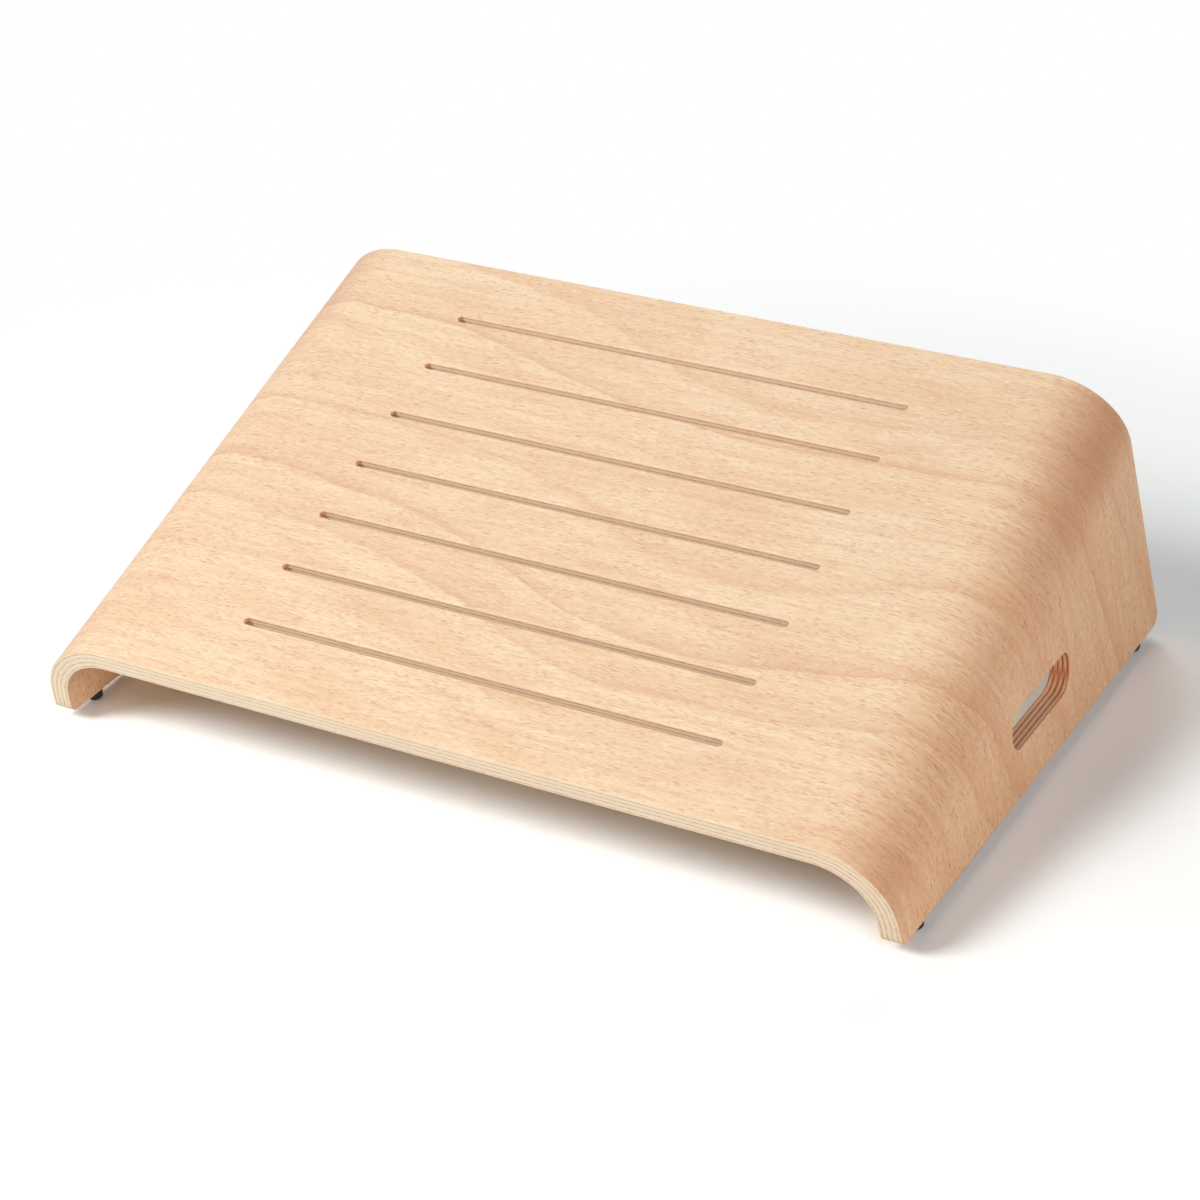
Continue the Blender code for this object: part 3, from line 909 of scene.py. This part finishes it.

# %% [markdown]
# ## The cut edges
#
# On a cut edge one veneer in two is cut along its fibres, which looks pale and streaky. The next one
# is cut across them, and its open ends drink glue and lacquer, in some places more than in others,
# so an uneven thin brown line runs along its middle. The stored "end_grain" number says which, so
# one recipe serves every edge, and the ends of a slot change over by themselves. How far a point
# lies from the middle of its veneer follows from its depth in the stack, as every inner veneer with
# its glue line takes up the same depth. The walls of the hand holes and the ends of the slots are
# painted reddish brown as shade, and the slots' long walls are painted a little warmer and darker
# than the sawn edges, as shade too.

# %% Material: cut edge of a veneer
SIDE_GRAIN = (1.000, 0.872, 0.690, 1.0)
SIDE_STREAK = (0.970, 0.790, 0.595, 1.0)
END_GRAIN = (0.990, 0.815, 0.620, 1.0)
END_LINE = (0.600, 0.310, 0.165, 1.0)
# Painted shade for the walls of the hand holes and the slots: their side grain, their end grain and the
# line across it, whose colour the pores share.
SIDE_SHADED = (1.000, 0.650, 0.390, 1.0)
END_SHADED = (0.760, 0.290, 0.130, 1.0)
PORE_AND_SHADED_LINE = (0.270, 0.085, 0.038, 1.0)
LINE_FADES, LINE_FULL = 0.00042, 0.00012     # from a veneer's middle, where its line is gone and full
LINE_LEAST, LINE_MORE = 0.32, 0.55           # its strength, and what it gains in thirsty wood
STREAK_RANGE, THIRST_RANGE, END_RANGE = (0.42, 0.72), (0.35, 0.62), (0.25, 0.85)
PORE_SHARE = 0.35
EDGE_ROUGHNESS, STREAK_ROUGHNESS = 0.48, 0.15


def make_edge_material(name, seed):
    material, tree, shader = begin_material(name)
    grain = put(tree, "ShaderNodeAttribute", attribute_name="grain").outputs["Vector"]
    end_grain = put(tree, "ShaderNodeAttribute", attribute_name="end_grain").outputs["Fac"]
    recess_shade = put(tree, "ShaderNodeAttribute", attribute_name="recess_shade").outputs["Fac"]
    streaks = place_group(tree, fibre_group, {
        "Grain": grain, "Length": 0.030, "Width": 0.0005, "Seed": seed,
    })["Fibre"]
    pores = place_group(tree, fleck_group, {
        "Grain": grain, "Length": 0.0060, "Width": 0.0006, "Share": 0.7, "Seed": seed + 3.0,
    })["Fleck"]
    depth = put(tree, "ShaderNodeSeparateXYZ", {0: grain}).outputs["Z"]
    below_face = calc(tree, "SUBTRACT", depth, FACE_VENEER + GLUE_LINE)
    into_veneer = calc(tree, "MODULO", below_face, INNER_VENEER + GLUE_LINE)
    off_middle = calc(tree, "ABSOLUTE", calc(tree, "SUBTRACT", into_veneer, INNER_VENEER / 2))
    thirst = place_group(tree, fibre_group, {
        "Grain": grain, "Length": 0.030, "Width": 0.0040, "Seed": seed + 5.0,
    })["Fibre"]
    strength = calc(tree, "MULTIPLY_ADD", ease(tree, thirst, *THIRST_RANGE), LINE_MORE, LINE_LEAST)
    line = calc(tree, "MULTIPLY", ease(tree, off_middle, LINE_FADES, LINE_FULL), strength)
    side = blend_colour(tree, ease(tree, streaks, *STREAK_RANGE), SIDE_GRAIN, SIDE_STREAK)
    # Painted shade in the hand holes and slots, as much as the stored number says.
    side = blend_colour(tree, recess_shade, side, SIDE_SHADED)
    end = blend_colour(tree, line, END_GRAIN, END_LINE)
    shaded_end = blend_colour(tree, line, END_SHADED, PORE_AND_SHADED_LINE)
    end = blend_colour(tree, recess_shade, end, shaded_end)
    end = blend_colour(tree, calc(tree, "MULTIPLY", pores, PORE_SHARE), end, PORE_AND_SHADED_LINE)
    colour = blend_colour(tree, ease(tree, end_grain, *END_RANGE), side, end)
    feed(tree, shader.inputs["Base Color"], colour)
    feed(tree, shader.inputs["Specular IOR Level"], WOOD_GLOSS)
    roughness = calc(tree, "MULTIPLY_ADD", streaks, STREAK_ROUGHNESS, EDGE_ROUGHNESS)
    feed(tree, shader.inputs["Roughness"], roughness)
    relief = calc(tree, "SUBTRACT", streaks, pores)
    add_relief(tree, shader, relief, strength=0.3, full_depth=RELIEF_DEPTH)
    return material


edge_wood = make_edge_material("beech_cut_edge", 3.0)
print("edge material:", edge_wood.name)

# %% [markdown]
# ## Rubber
#
# The feet are matte black rubber. Moulded rubber is never quite black: a dusty bloom lifts it a
# little, and it has a fine pebbled skin from the spark-eroded mould.

# %% Material: black rubber
RUBBER = (0.016, 0.016, 0.017, 1.0)
RUBBER_BLOOM = (0.050, 0.049, 0.047, 1.0)
PEBBLE_SCALE, BLOOM_SCALE = 2600.0, 240.0    # pebbles and dusty patches to a metre
PEBBLE_DEPTH = 0.00006
BLOOM_RANGE = (0.45, 0.8)
RUBBER_ROUGHNESS, BLOOM_ROUGHNESS = 0.6, 0.2

rubber, tree, shader = begin_material("black_rubber")
place = put(tree, "ShaderNodeTexCoord").outputs["Object"]
pebbles = put(tree, "ShaderNodeTexNoise", {
    "Vector": place, "Scale": PEBBLE_SCALE, "Detail": 2.0,
}).outputs[0]
bloom = put(tree, "ShaderNodeTexNoise", {
    "Vector": place, "Scale": BLOOM_SCALE, "Detail": 3.0,
}).outputs[0]
colour = blend_colour(tree, ease(tree, bloom, *BLOOM_RANGE), RUBBER, RUBBER_BLOOM)
feed(tree, shader.inputs["Base Color"], colour)
roughness = calc(tree, "MULTIPLY_ADD", bloom, BLOOM_ROUGHNESS, RUBBER_ROUGHNESS)
feed(tree, shader.inputs["Roughness"], roughness)
add_relief(tree, shader, pebbles, strength=0.4, full_depth=PEBBLE_DEPTH)
print("rubber made")

# %% [markdown]
# ## Put the pieces on the frame
#
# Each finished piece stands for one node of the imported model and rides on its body, which is called
# "root" because nothing on this object moves.

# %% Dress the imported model
for number, (name, veneer) in enumerate(veneers, start=1):
    skin = inner_face if number == VENEER_COUNT else outer_face
    for finish in (skin, edge_wood):
        veneer.data.materials.append(finish)
    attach(veneer, "root")
    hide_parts(name)
for name, foot in feet:
    foot.data.materials.append(rubber)
    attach(foot, "root")
    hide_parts(name)
print("pieces dressed:", len(veneers) + len(feet))

# %% [markdown]
# ## The floor
#
# The setting is a white studio, but the floor board is a light grey, so it throws little light back up
# and the space under the tread stays dark. A camera set to make such a floor pure white overexposes
# it, so the camera alone sees it brighter than it is. The wood gets no light from that, and the shadow
# stays, because a shadow is brightened by the same factor. The factor is a little larger for blue, as
# a camera's white balance would have it, because the wood throws warm light into its own shadow. Far
# behind the footrest the board fades into a white sheet. From below the board is clear, so that the
# underside of the footrest can be looked at too.

# %% Floor
FLOOR_HALF = 8.0
SHEET_BEGINS, SHEET_COVERS = 0.42, 0.72
FLOOR_GREY = (0.60, 0.60, 0.60, 1.0)
FLOOR_SEEN = (1.26, 1.29, 1.32, 1.0)


def seen_directly(tree):
    """1 for light on its way to the camera, also by way of a mirror or glass, and 0 for the rest."""
    path = put(tree, "ShaderNodeLightPath").outputs
    mirrored = calc(tree, "MAXIMUM", path["Is Glossy Ray"], path["Is Transmission Ray"])
    return calc(tree, "MAXIMUM", path["Is Camera Ray"], mirrored)


floor_shape = bmesh.new()
bmesh.ops.create_grid(floor_shape, x_segments=1, y_segments=1, size=FLOOR_HALF)
floor = make_object("floor", floor_shape)
floor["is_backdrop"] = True
floor_material = bpy.data.materials.new("floor_board")
floor_material.use_nodes = True
tree = floor_material.node_tree
tree.nodes.remove(tree.nodes["Principled BSDF"])
seen = seen_directly(tree)
paint = put(tree, "ShaderNodeBsdfDiffuse", {"Color": blend_colour(tree, seen, FLOOR_GREY, FLOOR_SEEN)})
place = put(tree, "ShaderNodeTexCoord").outputs["Object"]
away = put(tree, "ShaderNodeVectorMath", {0: place}, operation="LENGTH").outputs["Value"]
sheet_share = calc(tree, "MULTIPLY", ease(tree, away, SHEET_BEGINS, SHEET_COVERS), seen)
sheet = put(tree, "ShaderNodeEmission", {"Color": (1.0, 1.0, 1.0, 1.0), "Strength": 1.0})
surface = put(tree, "ShaderNodeMixShader", {0: sheet_share, 1: paint.outputs[0], 2: sheet.outputs[0]})
below = put(tree, "ShaderNodeNewGeometry").outputs["Backfacing"]
clear = put(tree, "ShaderNodeBsdfTransparent")
one_way = put(tree, "ShaderNodeMixShader", {0: below, 1: surface.outputs[0], 2: clear.outputs[0]})
tree.links.new(one_way.outputs[0], tree.nodes["Material Output"].inputs["Surface"])
floor.data.materials.append(floor_material)
print("floor side:", 2 * FLOOR_HALF, "m")

# %% [markdown]
# ## The light
#
# Four softboxes stand round the footrest. The key at the front left is rather small, so that the
# floor under the front edge darkens within a hand's breadth. A fill at the front right keeps the
# right wall readable, and a broad lamp behind rounds off the back. The fourth is a strip just above
# the floor at the right: it lights the right wall, and skims over the floor without filling the shadow
# there. Next to nothing comes from all round.

# %% World and lamps
AMBIENT = 0.05
world = bpy.data.worlds.new("studio")
bpy.context.scene.world = world
world.use_nodes = True
tree = world.node_tree
background = tree.nodes["Background"]
background.inputs["Color"].default_value = (1.0, 1.0, 1.0, 1.0)
seen = seen_directly(tree)
tree.links.new(calc(tree, "MULTIPLY_ADD", seen, 1.0 - AMBIENT, AMBIENT), background.inputs["Strength"])

LAMP_DISTANCE = 2.6
STRIP_DISTANCE = 2.2


def add_softbox(name, azimuth, elevation, distance, size, power, colour):
    """A flat lamp that looks at the footrest. Azimuth 0 stands in front, 90 to the right."""
    lamp = bpy.data.lights.new(name, "AREA")
    lamp.shape = "RECTANGLE"
    lamp.size, lamp.size_y = size
    lamp.energy = power
    lamp.color = colour
    softbox = bpy.data.objects.new(name, lamp)
    bpy.context.scene.collection.objects.link(softbox)
    a, e = radians(azimuth), radians(elevation)
    way = Vector((sin(a) * cos(e), -cos(a) * cos(e), sin(e)))
    softbox.location = way * distance
    softbox.rotation_euler = way.to_track_quat("Z", "Y").to_euler()


add_softbox("key_front_left", -35, 40, LAMP_DISTANCE, (0.9, 0.9), 51.5, (0.99, 0.98, 0.93))
add_softbox("fill_front_right", 40, 40, LAMP_DISTANCE, (0.9, 0.9), 18.7, (0.76, 0.86, 0.94))
add_softbox("rim_behind", -150, 40, LAMP_DISTANCE, (1.3, 1.3), 17.7, (0.99, 1.0, 0.94))
add_softbox("low_strip_right", 68, 6, STRIP_DISTANCE, (1.3, 0.4), 15.0, (1.0, 0.61, 0.30))

# %% [markdown]
# ## Check the size and finish
#
# The finished pieces have to fill the same box as the imported model. The last lines print the most
# that a corner of the one box differs from the other.

# %% Compare the boxes and finish
low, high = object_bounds()
furthest = max((low - cad_low).length, (high - cad_high).length)
print("most that a corner of the box differs, in mm:", round(1000 * furthest, 3))
